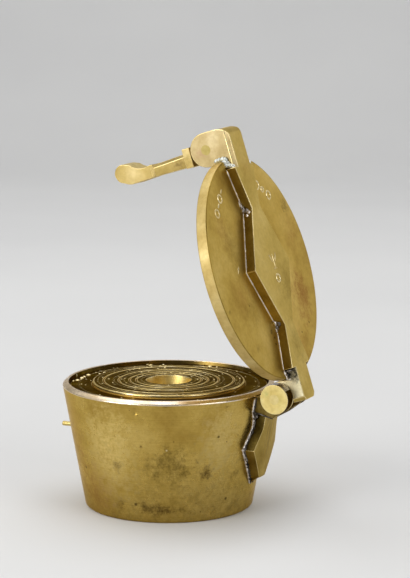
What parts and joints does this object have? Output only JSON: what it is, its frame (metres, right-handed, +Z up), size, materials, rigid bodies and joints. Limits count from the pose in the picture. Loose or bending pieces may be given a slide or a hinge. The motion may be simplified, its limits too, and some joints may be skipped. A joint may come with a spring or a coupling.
{
  "type": "nested cup weight",
  "caption": "Tapered brass case cup with a strapped hinged lid and a hasp that drops over a peg, holding a pile of smaller weighing cups that nest inside each other.",
  "frame": {"origin": "centre of the case's flat underside", "axes": "+Z up along the case's axis, +X towards the lid hinge, -X towards the hasp and its peg, Y along the hinge pin"},
  "size_m": [0.0826, 0.067, 0.1149],
  "materials": {
    "case_brass": "satin, stained, with a bright rim",
    "cup_brass": "dark, oily, worn bright on the lips",
    "lid_brass": "satin, mottled brown",
    "fitting_brass": "satin, filed",
    "hasp_brass": "satin, pale, worn",
    "pin_brass": "satin, pale"
  },
  "bodies": {
    "case": {"case_cup": "case_brass", "hinge_bracket": "fitting_brass", "hinge_pin": "pin_brass", "catch_peg": "pin_brass"},
    "lid": {"lid_disc": "lid_brass", "lid_strap": "fitting_brass", "hasp_pin": "pin_brass"},
    "hasp": {"hasp": "hasp_brass"},
    "cup_1": {"cup_1": "cup_brass"},
    "cup_2": {"cup_2": "cup_brass"},
    "cup_3": {"cup_3": "cup_brass"},
    "cup_4": {"cup_4": "cup_brass"},
    "cup_5": {"cup_5": "cup_brass"},
    "cup_6": {"cup_6": "cup_brass"}
  },
  "joints": [
    {"name": "lid_hinge", "type": "hinge", "parent": "case", "child": "lid", "pos_m": [0.03795, 0, 0.0367], "axis": [0, 1, 0], "range_deg": [-72.35, 35.65]},
    {"name": "hasp_pivot", "type": "hinge", "parent": "lid", "child": "hasp", "pos_m": [0.0147, 0, 0.10853], "axis": [0, 1, 0], "range_deg": [-14, 90]},
    {"name": "cup_1_lift", "type": "slide", "parent": "case", "child": "cup_1", "axis": [0, 0, 1], "range_m": [0, 0.027]},
    {"name": "cup_2_lift", "type": "slide", "parent": "cup_1", "child": "cup_2", "axis": [0, 0, 1], "range_m": [0, 0.026]},
    {"name": "cup_3_lift", "type": "slide", "parent": "cup_2", "child": "cup_3", "axis": [0, 0, 1], "range_m": [0, 0.021]},
    {"name": "cup_4_lift", "type": "slide", "parent": "cup_3", "child": "cup_4", "axis": [0, 0, 1], "range_m": [0, 0.018]},
    {"name": "cup_5_lift", "type": "slide", "parent": "cup_4", "child": "cup_5", "axis": [0, 0, 1], "range_m": [0, 0.0145]},
    {"name": "cup_6_lift", "type": "slide", "parent": "cup_5", "child": "cup_6", "axis": [0, 0, 1], "range_m": [0, 0.0115]}
  ]
}
